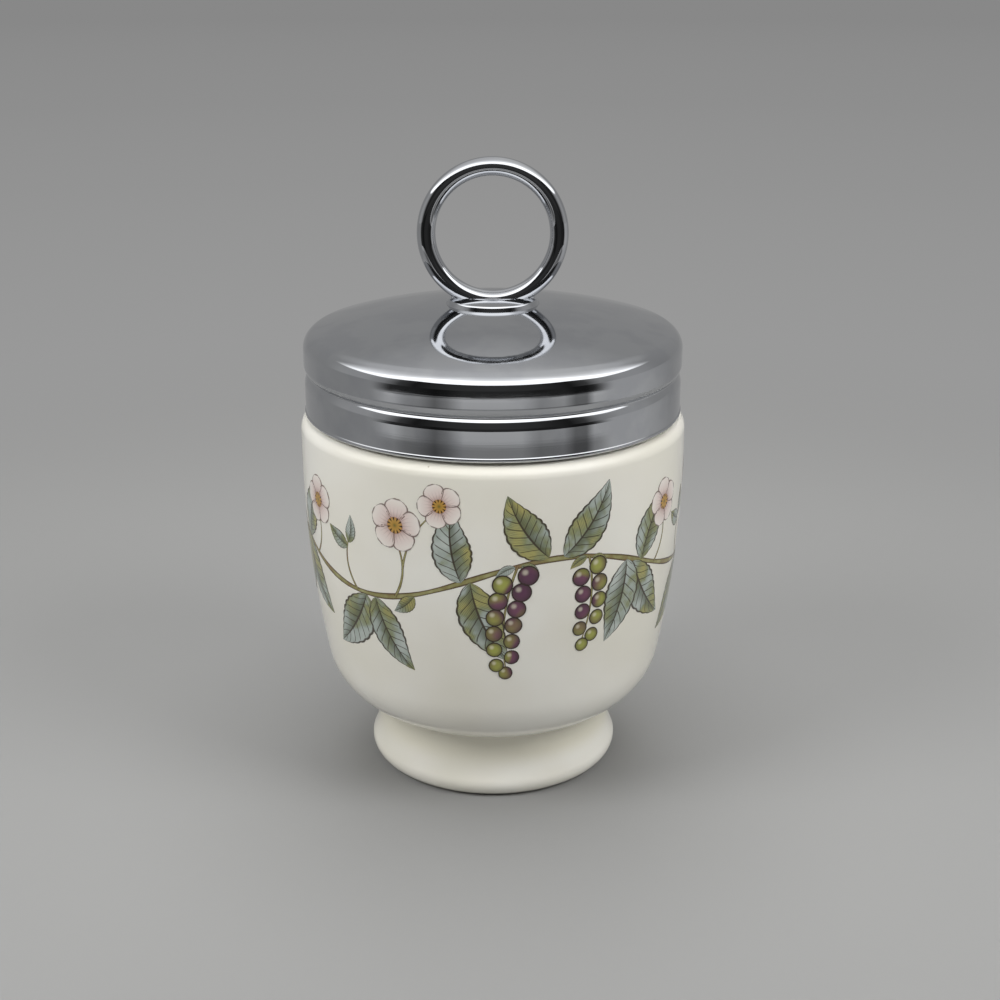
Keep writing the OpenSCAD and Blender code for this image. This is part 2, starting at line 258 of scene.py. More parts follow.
def glazed_porcelain():
    """Glazed porcelain: warm white with a faint cloudiness, a little creamier where the glaze gathers in
    the waist, a few iron specks, and a bare matt edge where it stands."""
    material, tree, shader = new_material("glazed_porcelain")
    place = add(tree, "TexCoord").outputs["Object"]
    z = add(tree, "SeparateXYZ", i0=place).outputs[2]
    cloud = add(tree, "TexNoise", Vector=place, Scale=1 / (22 * MM), Detail=2.0)
    tint = add(tree, "ValToRGB", Fac=cloud)
    stops(tint, (0.36, "#ece9dc"), (0.5, "#f0ede2"), (0.64, "#f4f2e9"))
    rising = add(tree, "MapRange", SMOOTH, Value=z, From_Min=POOL_STARTS, From_Max=POOL_FULL)
    fading = add(tree, "MapRange", SMOOTH, Value=z, From_Min=POOL_ENDS, From_Max=POOL_FADES)
    pool = add(tree, "Math", MULTIPLY, i0=rising, i1=fading)
    pooled = add(tree, "Mix", COLOURS, i0=pool, i6=tint, i7=linear("#eae6d5"))
    # One iron speck of about 0.3 mm in each 11 mm or so
    cells = add(tree, "TexVoronoi", Vector=place, Scale=1 / (11 * MM))
    speck = add(tree, "MapRange", SMOOTH, Value=cells, From_Min=0.02, From_Max=0.008, To_Max=0.55)
    specked = add(tree, "Mix", COLOURS, i0=speck, i6=pooled, i7=linear("#9a8866"))
    bare = add(tree, "MapRange", SMOOTH, Value=z, From_Min=GLAZED_ABOVE, From_Max=BARE_BELOW)
    biscuit = add(tree, "TexNoise", Vector=place, Scale=1 / (0.4 * MM), Detail=2.0)
    grain = add(tree, "ValToRGB", Fac=biscuit)
    stops(grain, (0.35, "#c9bfa8"), (0.65, "#ddd5c2"))
    colour = add(tree, "Mix", COLOURS, i0=bare, i6=specked, i7=grain)
    gloss = glazed(tree, shader, place)
    matt = add(tree, "Mix", NUMBERS, i0=bare, i2=gloss, i3=0.6)
    plug(shader, Base_Color=colour, Roughness=matt)
    return material


def polished_round(name, colours, gloss, spacing, turn=0.0, middle=(0.0, 0.0, 0.0)):
    """Metal polished or turned round an axis: fine lines run round it, a few of them are scratches, and
    thin patches are duller. The axis is the upright one unless it is turned and moved. The colours are
    those of the dull patches and of the clean metal, and gloss is the roughness of the clean metal, what
    a patch adds, and what a scratch adds."""
    material, tree, shader = new_material(name)
    place = add(tree, "TexCoord").outputs["Object"]
    set_up = add(tree, "Mapping", Vector=place, Location=middle, Rotation=(turn, 0.0, 0.0))
    x, y, z = add(tree, "SeparateXYZ", i0=set_up).outputs
    level, radius = off_axis(tree, x, y)
    way = add(tree, "VectorMath", {"operation": "NORMALIZE"}, i0=level)
    way_x, way_y, _ = add(tree, "SeparateXYZ", i0=way).outputs
    out = add(tree, "Math", DIVIDE, i0=radius, i1=spacing)
    up = add(tree, "Math", DIVIDE, i0=z, i1=spacing)
    along = add(tree, "Math", MULTIPLY, i0=way_x, i1=3.0)
    aside = add(tree, "Math", MULTIPLY, i0=way_y, i1=3.0)
    drawn_out = add(tree, "CombineXYZ", i0=out, i1=up, i2=along)
    lines = add(tree, "TexNoise", {"noise_dimensions": "4D"}, Vector=drawn_out,
                W=aside, Scale=1.0, Detail=2.0)
    scratch = add(tree, "MapRange", SMOOTH, Value=lines, From_Min=0.66, From_Max=0.78, To_Max=gloss[2])
    patches = add(tree, "TexNoise", Vector=place, Scale=1 / (7 * MM), Detail=3.0)
    dull = add(tree, "MapRange", SMOOTH, Value=patches, From_Min=0.62, From_Max=0.42)
    tint = add(tree, "Mix", COLOURS, i0=dull, i6=linear(colours[0]), i7=linear(colours[1]))
    haze = add(tree, "MapRange", Value=dull, To_Min=gloss[0] + gloss[1], To_Max=gloss[0])
    rough = add(tree, "Math", {"operation": "ADD"}, i0=haze, i1=scratch)
    relief = add(tree, "Bump", Height=lines, Strength=1.0, Distance=0.004 * spacing)
    plug(shader, Base_Color=tint, Roughness=rough, Normal=relief, Metallic=1.0)
    return material


def chrome_plate():
    """Bright chrome plate on pressed brass, polished on a wheel as it turned: a clear mirror with faint
    rings and a thin haze in patches. Its lines are drawn 0.3 mm apart, coarser than the real ones."""
    return polished_round("bright_chrome_plate", ("#bec0c4", "#c5c7ca"), (0.03, 0.03, 0.10), 0.3 * MM)


def chrome_wire():
    """The same plate on wire, polished along it, round the ring's own axis."""
    return polished_round("bright_chrome_wire", ("#bec0c4", "#c5c7ca"), (0.03, 0.03, 0.08), 0.25 * MM,
                          math.pi / 2, (0.0, RING_Z, 0.0))


def dull_plated_steel():
    """Tin-plated steel, turned and left unpolished: a soft grey sheen with visible rings and darker
    patches where it has been wet."""
    return polished_round("dull_tin_plate", ("#8f8d84", "#b2b2ae"), (0.26, 0.16, 0.12), 0.45 * MM)


# The rim's radius where it presses on the sealing ring, and half the mark's width, whole and with its fade
RIM_MIDDLE, RIM_MARK, RIM_MARK_FADES = 27.7 * MM, 0.7 * MM, 1.1 * MM


def moulded_rubber():
    """Moulded rubber, yellowed by steam: matt, with a fine grain and the mark that the rim presses in."""
    material, tree, shader = new_material("moulded_rubber")
    place = add(tree, "TexCoord").outputs["Object"]
    age = add(tree, "TexNoise", Vector=place, Scale=1 / (9 * MM), Detail=3.0)
    tint = add(tree, "ValToRGB", Fac=age)
    stops(tint, (0.35, "#c6bb9f"), (0.5, "#d6cfbf"), (0.66, "#ddd7c9"))
    x, y, _ = add(tree, "SeparateXYZ", i0=place).outputs
    _, radius = off_axis(tree, x, y)
    off_rim = add(tree, "Math", SUBTRACT, i0=radius, i1=RIM_MIDDLE)
    beside = add(tree, "Math", ABSOLUTE, i0=off_rim)
    pressed = add(tree, "MapRange", SMOOTH, Value=beside, From_Min=RIM_MARK_FADES, From_Max=RIM_MARK)
    mark = add(tree, "Math", MULTIPLY, i0=pressed, i1=0.35)
    colour = add(tree, "Mix", COLOURS, i0=mark, i6=tint, i7=linear("#a99d82"))
    grain = add(tree, "TexNoise", Vector=place, Scale=1 / (0.3 * MM), Detail=2.0)
    gloss = add(tree, "MapRange", Value=grain, From_Min=0.3, From_Max=0.7, To_Min=0.52, To_Max=0.68)
    relief = add(tree, "Bump", Height=grain, Strength=1.0, Distance=0.01 * MM)
    plug(shader, Base_Color=colour, Roughness=gloss, Normal=relief)
    return material


def along_and_across(tree):
    """For a printed blade: the place on the cup, the blade's own map, u along it and v across it, and how
    far a point is from its middle line, from -1 to 1 (across) and without its sign (out)."""
    place = add(tree, "TexCoord")
    u, v, _ = add(tree, "SeparateXYZ", i0=place.outputs["UV"]).outputs
    across = add(tree, "Math", MULTIPLY_ADD, i0=v, i1=2.0, i2=-1.0)
    out = add(tree, "Math", ABSOLUTE, i0=across)
    return {"place": place.outputs["Object"], "u": u, "v": v, "across": across, "out": out}


def from_middle(tree):
    """For a printed disc: the place on the cup, the place on the disc from its middle, and the distance
    from there, which is 1 at the disc's edge (out)."""
    place = add(tree, "TexCoord")
    middle = add(tree, "Mapping", Vector=place.outputs["UV"], Location=(-1.0, -1.0, 0.0),
                 Scale=(2.0, 2.0, 0.0))
    out = add(tree, "VectorMath", LENGTH, i0=middle).outputs["Value"]
    return {"place": place.outputs["Object"], "middle": middle, "out": out}


def printed(name, drawn_by, ink):
    """Print under the glaze, in the colours that an ink gives for each point."""
    material, tree, shader = new_material(name)
    point = drawn_by(tree)
    plug(shader, Base_Color=ink(tree, point))
    glazed(tree, shader, point["place"])
    return material


def stalk_ink(tree, point):
    """Olive-brown stalks with a darker pen line along both sides."""
    wash = add(tree, "TexNoise", Vector=point["place"], Scale=1 / (2.5 * MM), Detail=3.0)
    tint = add(tree, "ValToRGB", Fac=wash)
    stops(tint, (0.35, "#a8a573"), (0.52, "#8f8a55"), (0.66, "#8a6f4c"))
    line = add(tree, "MapRange", SMOOTH, Value=point["out"], From_Min=0.35, From_Max=0.8)
    return add(tree, "Mix", COLOURS, i0=line, i6=tint, i7=linear("#5a4630"))


def leaf_ink(tree, point):
    """A grey-green to olive wash, with a brown pen line round the leaf, a midrib, side veins and fine
    hatching."""
    # Wash, in patches of about 6 mm, darker beside the midrib on the leaf's lower half
    wash = add(tree, "TexNoise", Vector=point["place"], Scale=1 / (6 * MM), Detail=3.0)
    tint = add(tree, "ValToRGB", Fac=wash)
    stops(tint, (0.32, "#c2c9c3"), (0.45, "#a8b2aa"), (0.54, "#8f966e"), (0.66, "#b3ad6b"))
    under = add(tree, "MapRange", SMOOTH, Value=point["across"], From_Min=-0.75, From_Max=-0.05)
    fold = add(tree, "MapRange", SMOOTH, Value=point["across"], From_Min=0.08, From_Max=-0.02)
    shade = add(tree, "Math", MULTIPLY, i0=under, i1=fold)
    shaded = add(tree, "Math", MULTIPLY, i0=shade, i1=0.7)
    tinted = add(tree, "Mix", COLOURS, i0=shaded, i6=tint, i7=linear("#515a44"))
    # Side veins leave the midrib nine times along the leaf, and hatching lies between them
    lean = add(tree, "Math", MULTIPLY_ADD, i0=point["out"], i1=-0.17, i2=point["u"])
    lines = []
    for often, thin, thick in ((9.0, 0.80, 0.96), (44.0, 0.45, 1.0)):
        phase = add(tree, "Math", MULTIPLY, i0=lean, i1=often)
        wave = add(tree, "Math", PINGPONG, i0=phase, i1=0.5)
        lines.append(add(tree, "MapRange", SMOOTH, Value=wave, From_Min=thin / 2, From_Max=thick / 2))
    short = add(tree, "MapRange", SMOOTH, Value=point["out"], From_Min=0.9, From_Max=0.72)
    veins = add(tree, "Math", MULTIPLY, i0=lines[0], i1=short)
    patch = add(tree, "MapRange", SMOOTH, Value=wash, From_Min=0.4, From_Max=0.6, To_Max=0.55)
    hatching = add(tree, "Math", MULTIPLY, i0=lines[1], i1=patch)
    edge = add(tree, "MapRange", SMOOTH, Value=point["out"], From_Min=0.85, From_Max=0.93)
    rib = add(tree, "MapRange", SMOOTH, Value=point["out"], From_Min=0.075, From_Max=0.03)
    inked = add(tree, "Math", MAXIMUM, i0=veins, i1=hatching)
    inked = add(tree, "Math", MAXIMUM, i0=inked, i1=edge)
    inked = add(tree, "Math", MAXIMUM, i0=inked, i1=rib)
    strength = add(tree, "Math", MULTIPLY, i0=inked, i1=0.94)
    return add(tree, "Mix", COLOURS, i0=strength, i6=tinted, i7=linear("#3d3226"))


def currant_ink(tree, point):
    """Round currants, olive where they are unripe and plum elsewhere, with a brown pen line round each, a
    darker rim and a pale spot."""
    spot = add(tree, "VectorMath", {"operation": "DISTANCE"}, i0=point["middle"], i1=(-0.3, 0.34, 0.0))
    ripe = add(tree, "TexNoise", Vector=point["place"], Scale=1 / (7 * MM), Detail=1.0)
    tint = add(tree, "ValToRGB", Fac=ripe)
    stops(tint, (0.42, "#a2a552"), (0.49, "#8c7f50"), (0.54, "#75495f"), (0.65, "#5f3a52"))
    dark = add(tree, "MapRange", SMOOTH, Value=point["out"], From_Min=0.3, From_Max=0.95, To_Max=0.55)
    deep = add(tree, "Mix", COLOURS, i0=dark, i6=tint, i7=linear("#3a2d2b"))
    light = add(tree, "MapRange", SMOOTH, Value=spot.outputs["Value"], From_Min=0.42, From_Max=0.08,
                To_Max=0.6)
    lit = add(tree, "Mix", COLOURS, i0=light, i6=deep, i7=linear("#e2dcc6"))
    edge = add(tree, "MapRange", SMOOTH, Value=point["out"], From_Min=0.82, From_Max=0.92)
    return add(tree, "Mix", COLOURS, i0=edge, i6=lit, i7=linear("#33251f"))


def petal_ink(tree, point):
    """Pale petals, pinker where they start, with a few fine lines."""
    tint = add(tree, "ValToRGB", Fac=point["u"])
    stops(tint, (0.15, "#b48e86"), (0.5, "#e6d5ce"), (0.9, "#f1e9e1"))
    wave = add(tree, "Math", PINGPONG, i0=point["v"], i1=0.083)
    fine = add(tree, "MapRange", SMOOTH, Value=wave, From_Min=0.058, From_Max=0.08, To_Max=0.3)
    start = add(tree, "MapRange", SMOOTH, Value=point["u"], From_Min=0.75, From_Max=0.35)
    lines = add(tree, "Math", MULTIPLY, i0=fine, i1=start)
    side = add(tree, "MapRange", SMOOTH, Value=point["out"], From_Min=0.84, From_Max=0.94, To_Max=0.85)
    tip = add(tree, "MapRange", SMOOTH, Value=point["u"], From_Min=0.93, From_Max=0.98, To_Max=0.85)
    edge = add(tree, "Math", MAXIMUM, i0=side, i1=tip)
    inked = add(tree, "Math", MAXIMUM, i0=edge, i1=lines)
    return add(tree, "Mix", COLOURS, i0=inked, i6=tint, i7=linear("#5b4238"))


def eye_ink(tree, point):
    """Ochre flower middles with brown stamens round them."""
    x, y, _ = add(tree, "SeparateXYZ", i0=point["middle"]).outputs
    turn = add(tree, "Math", ARCTAN2, i0=y, i1=x)
    tint = add(tree, "ValToRGB", Fac=point["out"])
    stops(tint, (0.0, "#6b6a35"), (0.3, "#b1893d"), (0.7, "#c39a4b"), (1.0, "#b98a5c"))
    spokes = add(tree, "Math", MULTIPLY, i0=turn, i1=11.0)
    spokes = add(tree, "Math", {"operation": "COSINE"}, i0=spokes)
    between = add(tree, "MapRange", SMOOTH, Value=spokes, From_Min=-0.1, From_Max=0.7)
    ring = add(tree, "MapRange", SMOOTH, Value=point["out"], From_Min=0.45, From_Max=0.75)
    inked = add(tree, "Math", MULTIPLY, i0=between, i1=ring)
    return add(tree, "Mix", COLOURS, i0=inked, i6=tint, i7=linear("#46331f"))


RING_R, WIRE_R = 12.5 * MM, 1.55 * MM
RING_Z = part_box("ring_handle")[1][2] - RING_R

porcelain = glazed_porcelain()
chrome = chrome_plate()
wire = chrome_wire()
steel = dull_plated_steel()
rubber = moulded_rubber()
stalk_print = printed("underglaze_stalk_print", along_and_across, stalk_ink)
leaf_print = printed("underglaze_leaf_print", along_and_across, leaf_ink)
currant_print = printed("underglaze_currant_print", from_middle, currant_ink)
petal_print = printed("underglaze_petal_print", along_and_across, petal_ink)
eye_print = printed("underglaze_flower_eye_print", from_middle, eye_ink)

# ---------------------------------------------------------------- cup

BELLY_R, BELLY_Z, BELLY_ARC = 32.6 * MM, 57.0 * MM, 200.0 * MM
BOWL_ARC, INNER_ARC = 12.5 * MM, 9.0 * MM
SHOULDER_Z, SHOULDER_ROUND = 63.1 * MM, 2.2 * MM
WALL, FLOOR_T = 3.4 * MM, 3.7 * MM
FOOT_H, FOOT_R, FOOT_ROLL = 10.9 * MM, 21.9 * MM, 2.4 * MM
WAIST_R, WAIST_Z = 20.4 * MM, 9.4 * MM
STAND_W, RECESS_EDGE, RECESS_DRAFT = 1.9 * MM, 0.7 * MM, 7.0
RECESS_WALL, RECESS_DOME = 8.6 * MM, 1.4 * MM
NECK_R, MOUTH_R, RIM_ROUND = 29.3 * MM, 26.2 * MM, 0.8 * MM
NECK_FILLET, THROAT_H = 0.9 * MM, 9.0 * MM
THROAT_STEPS, FLOOR_STEPS = 24, 8
RIM_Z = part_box("cup")[1][2]


def tangent_pair(big_centre_r, big_arc, small_arc, small_z):
    """Where a small arc, with its centre at that height, runs on from inside the belly's long arc."""
    turn = math.asin((BELLY_Z - small_z) / (big_arc - small_arc))
    return big_centre_r + (big_arc - small_arc) * math.cos(turn), math.degrees(turn)


def cup_outline():
    belly_centre = (BELLY_R - BELLY_ARC, BELLY_Z)
    bowl_z = FOOT_H + BOWL_ARC
    bowl_r, turn = tangent_pair(belly_centre[0], BELLY_ARC, BOWL_ARC, bowl_z)
    shoulder_z = SHOULDER_Z - SHOULDER_ROUND
    shoulder_r, shoulder_turn = tangent_pair(belly_centre[0], BELLY_ARC, SHOULDER_ROUND, shoulder_z)
    bowl_end = math.degrees(math.acos((WAIST_R - bowl_r) / BOWL_ARC))
    roll_r = FOOT_R - FOOT_ROLL
    drop, step = WAIST_Z - FOOT_ROLL, WAIST_R - roll_r
    waist_arc = (drop ** 2 + step ** 2 - FOOT_ROLL ** 2) / (2 * (FOOT_ROLL - step))
    touch = math.degrees(math.atan2(drop, step + waist_arc))
    recess_r = roll_r - STAND_W
    recess_top = recess_r - RECESS_EDGE - RECESS_WALL * math.tan(math.radians(RECESS_DRAFT))
    dome_arc = (recess_top ** 2 + RECESS_DOME ** 2) / (2 * RECESS_DOME)
    dome_turn = degrees_of(recess_top / dome_arc)
    dome_z = RECESS_EDGE + RECESS_WALL + RECESS_DOME - dome_arc
    inner_side = BELLY_ARC - WALL
    floor_z = FOOT_H + FLOOR_T
    inner_z = floor_z + INNER_ARC
    inner_r, inner_turn = tangent_pair(belly_centre[0], inner_side, INNER_ARC, inner_z)
    throat_z = SHOULDER_Z - THROAT_H
    throat_turn = degrees_of((throat_z - BELLY_Z) / inner_side)
    throat_r = belly_centre[0] + inner_side * math.cos(math.radians(throat_turn))
    throat = []
    for i in range(1, THROAT_STEPS):
        rise = i / THROAT_STEPS
        r = MOUTH_R + (throat_r - MOUTH_R) * (1 + math.cos(math.pi * rise)) / 2
        throat.append((r, throat_z + THROAT_H * rise, math.pi))
    inside_floor = [(inner_r * i / FLOOR_STEPS, floor_z, 0) for i in range(FLOOR_STEPS)]
    return (inside_floor
            + arc((inner_r, inner_z), INNER_ARC, -90, -inner_turn)
            + arc(belly_centre, inner_side, -inner_turn, throat_turn, step=0.4)
            + throat
            + arc((MOUTH_R + RIM_ROUND, RIM_Z - RIM_ROUND), RIM_ROUND, 180, 90, step=10)
            + arc((NECK_R - RIM_ROUND, RIM_Z - RIM_ROUND), RIM_ROUND, 90, 0, step=10)
            + arc((NECK_R + NECK_FILLET, SHOULDER_Z + NECK_FILLET), NECK_FILLET, 180, 270, step=10)
            + arc((shoulder_r, shoulder_z), SHOULDER_ROUND, 90, -shoulder_turn)
            + arc(belly_centre, BELLY_ARC, -shoulder_turn, -turn, step=0.4)
            + arc((bowl_r, bowl_z), BOWL_ARC, -turn, -bowl_end)
            + arc((WAIST_R + waist_arc, WAIST_Z), waist_arc, 180, 180 + touch)
            + arc((roll_r, FOOT_ROLL), FOOT_ROLL, touch, -90, step=5)
            + arc((recess_r, RECESS_EDGE), RECESS_EDGE, -90, -180 + RECESS_DRAFT, step=10)
            + arc((0, dome_z), dome_arc, 90 - dome_turn, 90, step=1.5))


cup = finished(turned(cup_outline(), closed=False), "porcelain_cup", "cup", porcelain)

# ---------------------------------------------------------------- garland

WALL_LENGTH = math.tau * BELLY_R
REPEATS = 3
REPEAT = WALL_LENGTH / REPEATS
FRONT_X = WALL_LENGTH / 4
FILM_SINK = 0.05 * MM
# How far the print's layers stand out from the wall, from the back one to the front one
LAYERS = (0.02 * MM, 0.035 * MM, 0.05 * MM, 0.065 * MM, 0.08 * MM)
STEM_Z, STEM_RISE, STEM_SHIFT, STEM_W = 43.5 * MM, 4.2 * MM, 6.0 * MM, 0.95 * MM
LEAF_COLUMNS, PETAL_COLUMNS, SHOOT_COLUMNS, STEM_COLUMNS = 36, 12, 10, 40
# Scallops along a leaf and their depth, knots along the stem and their swell, the share of its width
# that a shoot loses to its end, and how far a currant hangs beside its stalk, for each diameter
SCALLOPS, SCALLOP, KNOTS, KNOT, TAPER, HANG = 9, 0.07, 5, 0.18, 0.45, 0.52
# A blossom's petals, and its eye's diameter for each length of a petal
PETALS, EYE_SIZE = 5, 0.62


def picked(piece, numbers):
    """Selects these points alone, in edit mode."""
    bpy.ops.mesh.select_all(action="DESELECT")
    mesh = bmesh.from_edit_mesh(piece.data)
    mesh.verts.ensure_lookup_table()
    for number in numbers:
        mesh.verts[number].select = True
    mesh.select_flush(True)
    bmesh.update_edit_mesh(piece.data)


def bowed(start, end, bow, count):
    """Points of a line that bows out to its left between its ends."""
    (x0, y0), (x1, y1) = start, end
    length = math.hypot(x1 - x0, y1 - y0)
    points = []
    for i in range(count + 1):
        s = i / count
        out = 4 * bow * s * (1 - s)
        points.append((x0 + (x1 - x0) * s - (y1 - y0) / length * out,
                       y0 + (y1 - y0) * s + (x1 - x0) / length * out))
    return points


def blade(middle, widths, rows):
    """A flat blade that follows its middle line. Its map runs along it and across it."""
    bpy.ops.mesh.primitive_grid_add(x_subdivisions=len(middle) - 1, y_subdivisions=rows, size=1.0)
    piece = bpy.context.object
    last = len(middle) - 1
    columns = [[] for _ in middle]
    for vertex in piece.data.vertices:
        columns[round((vertex.co.x + 0.5) * last)].append(vertex.index)
    bpy.ops.object.mode_set(mode="EDIT")
    for i, (x, y) in enumerate(middle):
        (x0, y0), (x1, y1) = middle[max(i - 1, 0)], middle[min(i + 1, last)]
        start = (i / last - 0.5, 0, 0)
        picked(piece, columns[i])
        bpy.ops.transform.resize(value=(1, widths[i], 1), center_override=start)
        bpy.ops.transform.rotate(value=-math.atan2(y1 - y0, x1 - x0), orient_axis="Z", center_override=start)
        bpy.ops.transform.translate(value=(x - start[0], y, 0))
    bpy.ops.object.mode_set(mode="OBJECT")
    return piece


def leaf(broad, bow):
    """A pointed leaf of length 1 with shallow scallops."""
    widths = []
    for i in range(LEAF_COLUMNS + 1):
        s = i / LEAF_COLUMNS
        scallop = 1 + SCALLOP * abs(math.sin(math.pi * SCALLOPS * s))
        widths.append(broad * max(0.012, math.sin(math.pi * s ** 0.76) ** 0.92 * scallop))
    return blade(bowed((0, 0), (1, 0), bow, LEAF_COLUMNS), widths, rows=6)


def petal():
    """A rounded petal of length 1, narrow where it starts."""
    widths = []
    for i in range(PETAL_COLUMNS + 1):
        s = i / PETAL_COLUMNS
        widths.append(0.95 * max(0.05, math.sin(math.pi * min(s, 0.985) ** 1.7) ** 0.62))
    return blade(bowed((0, 0), (1, 0), 0, PETAL_COLUMNS), widths, rows=4)


def disc():
    """A round disc of diameter 1."""
    bpy.ops.mesh.primitive_circle_add(vertices=24, radius=0.5, fill_type="TRIFAN")
    return bpy.context.object


def placed(blank, x, z, lean, size):
    """A copy of a blank in the flat drawing, in millimetres from its front middle line."""
    piece = blank.copy()
    piece.data = blank.data.copy()
    bpy.context.collection.objects.link(piece)
    piece.location = (FRONT_X + x * MM, 0, z * MM)
    piece.rotation_euler = (math.pi / 2, -math.radians(lean), 0)
    piece.scale = (size * MM, size * MM, size * MM)
    return piece


def stem_z(x):
    return STEM_Z + STEM_RISE * math.sin(math.tau * (x + STEM_SHIFT) / REPEAT)


def stem():
    """One repeat of the main stem, as wide at one end as at the other."""
    middle = []
    widths = []
    for i in range(STEM_COLUMNS + 1):
        x = REPEAT * (i / STEM_COLUMNS - 0.5)
        middle.append((x / MM, stem_z(x) / MM))
        widths.append(STEM_W / MM * (1 + KNOT * math.sin(math.tau * KNOTS * i / STEM_COLUMNS)))
    return blade(middle, widths, rows=2)


def shoot(start, end, bow, thick):
    """A thin stalk that tapers to its end."""
    widths = [thick * (1 - TAPER * i / SHOOT_COLUMNS) for i in range(SHOOT_COLUMNS + 1)]
    return blade(bowed(start, end, bow, SHOOT_COLUMNS), widths, rows=2)


def laid(parts, name, lift, material):
    """Joins one repeat of flat parts, lays it on the wall as a film, and repeats it round the cup."""
    bpy.ops.object.select_all(action="DESELECT")
    for part in parts:
        part.select_set(True)
    bpy.context.view_layer.objects.active = parts[0]
    bpy.ops.object.join()
    piece = bpy.context.object
    bpy.ops.object.transform_apply(location=True, rotation=True, scale=True)
    bend = piece.modifiers.new("bend", "CURVE")
    bend.object = hoop
    bend.deform_axis = "POS_X"
    cling = piece.modifiers.new("cling", "SHRINKWRAP")
    cling.target = cup
    cling.wrap_method = "NEAREST_SURFACEPOINT"
    cling.wrap_mode = "ABOVE_SURFACE"
    cling.offset = lift
    film = piece.modifiers.new("film", "SOLIDIFY")
    film.thickness = lift + FILM_SINK
    film.offset = -1
    use_modifiers(piece)
    repeats = [piece]
    for i in range(1, REPEATS):
        repeat = piece.copy()
        repeat.data = piece.data.copy()
        repeat.rotation_euler = (0, 0, math.tau * i / REPEATS)
        bpy.context.collection.objects.link(repeat)
        repeats.append(repeat)
    for repeat in repeats:
        repeat.select_set(True)
    bpy.context.view_layer.objects.active = piece
    bpy.ops.object.join()
    return finished(piece, name, "cup", material)


# Leaves: place of the stalk's end, direction, length, and which of the two leaf shapes
BACK_LEAVES = [(-22.5, 39.0, -128, 14.5, 0), (-3.5, 44.1, -66, 15.5, 1), (9.0, 48.0, 122, 12.5, 0),
               (25.5, 44.2, -52, 15.5, 1), (27.5, 43.9, 62, 12.0, 0)]
FRONT_LEAVES = [(-20.5, 39.1, -62, 14.0, 1), (11.5, 47.9, 56, 14.0, 1), (-5.0, 44.0, 96, 12.5, 0),
                (23.8, 44.9, -104, 14.5, 0)]
LEAFLETS = [(-26.1, 46.6, 152, 5.5, 0), (-26.0, 47.3, 80, 5.0, 1), (-13.0, 40.6, -140, 5.0, 0),
            (3.6, 46.7, -150, 3.6, 1), (4.6, 47.0, -35, 3.6, 0), (15.6, 47.2, -150, 3.4, 1),
            (16.6, 47.0, -30, 3.4, 0)]
SHOOTS = [((-24.5, 39.3), (-26.0, 47.5), 1.2, 0.45), ((-16.5, 40.0), (-16.0, 50.5), -1.5, 0.5),
          ((-14.8, 45.0), (-9.5, 55.0), 1.0, 0.4), ((4.0, 46.9), (2.2, 28.5), -1.2, 0.45),
          ((16.0, 47.2), (15.6, 32.5), 1.0, 0.45), ((31.5, 42.2), (33.5, 50.0), -1.2, 0.45)]
# Bunches: the stalk's ends and bow, the number of currants, and their first and last diameters
BUNCHES = [((3.9, 45.2), (2.2, 27.6), -1.2, 12, 3.5, 2.5), ((16.0, 45.4), (15.6, 31.4), 1.0, 9, 3.3, 2.5)]
# Blossoms: place of the middle, turn, and length of a petal
BLOSSOMS = [(-15.8, 52.5, 12, 4.5), (-8.2, 56.6, 40, 3.7), (33.6, 52.2, 25, 4.2)]


def currants():
    """The currants hang to the right and to the left of their stalks by turns."""
    sides = ([], [])
    for start, end, bow, count, first, last in BUNCHES:
        line = bowed(start, end, bow, count)
        for i, (x, z) in enumerate(line):
            size = first + (last - first) * i / count
            away = 0.0 if i == count else HANG * size
            right = i % 2 == 0
            sides[0 if right else 1].append(placed(round_blank, x + (away if right else -away), z, 0, size))
    return sides


bpy.ops.curve.primitive_bezier_circle_add(radius=BELLY_R)
hoop = bpy.context.object
bpy.ops.object.mode_set(mode="EDIT")
bpy.ops.curve.select_all(action="SELECT")
bpy.ops.curve.switch_direction()
bpy.ops.object.mode_set(mode="OBJECT")
hoop.data.resolution_u = AROUND // 3

leaf_blanks = (leaf(0.50, 0.07), leaf(0.44, -0.08))
petal_blank = petal()
round_blank = disc()

stalks = [stem()] + [shoot(*line) for line in SHOOTS]
laid([placed(stalk, 0, 0, 0, 1) for stalk in stalks], "stalk_print", LAYERS[0], stalk_print)
laid([placed(leaf_blanks[kind], x, z, lean, size) for x, z, lean, size, kind in BACK_LEAVES + LEAFLETS],
     "back_leaf_print", LAYERS[1], leaf_print)
laid([placed(leaf_blanks[kind], x, z, lean, size) for x, z, lean, size, kind in FRONT_LEAVES],
     "front_leaf_print", LAYERS[2], leaf_print)
right_currants, left_currants = currants()
laid(right_currants, "back_currant_print", LAYERS[3], currant_print)
laid(left_currants, "front_currant_print", LAYERS[4], currant_print)
laid([placed(petal_blank, x, z, turn + 360 / PETALS * i, size)
      for x, z, turn, size in BLOSSOMS for i in range(PETALS)], "petal_print", LAYERS[3], petal_print)
laid([placed(round_blank, x, z, 0, size * EYE_SIZE) for x, z, _, size in BLOSSOMS], "flower_eye_print",
     LAYERS[4], eye_print)

for blank in [hoop, petal_blank, round_blank, *leaf_blanks, *stalks]:
    bpy.data.objects.remove(blank)

# ---------------------------------------------------------------- threads

PITCH, RIDGE_H, RIDGE_BASE, RIDGE_CREST = 4.5 * MM, 0.7 * MM, 1.8 * MM, 0.9 * MM
RIDGE_SINK, CREST_ROUND = 0.25 * MM, 0.3 * MM
NECK_TURNS, LID_TURNS, THREAD_SLACK = 1.25, 1.2, 0.25 * MM
CREST_GAP = 0.2 * MM
# Steps round the wall and over which a ridge rises, its share of height at its ends, and the least change
RIDGE_STEPS, RUN_OUT_STEPS, RUN_OUT, SAME = 128, 14, 0.2, 0.001

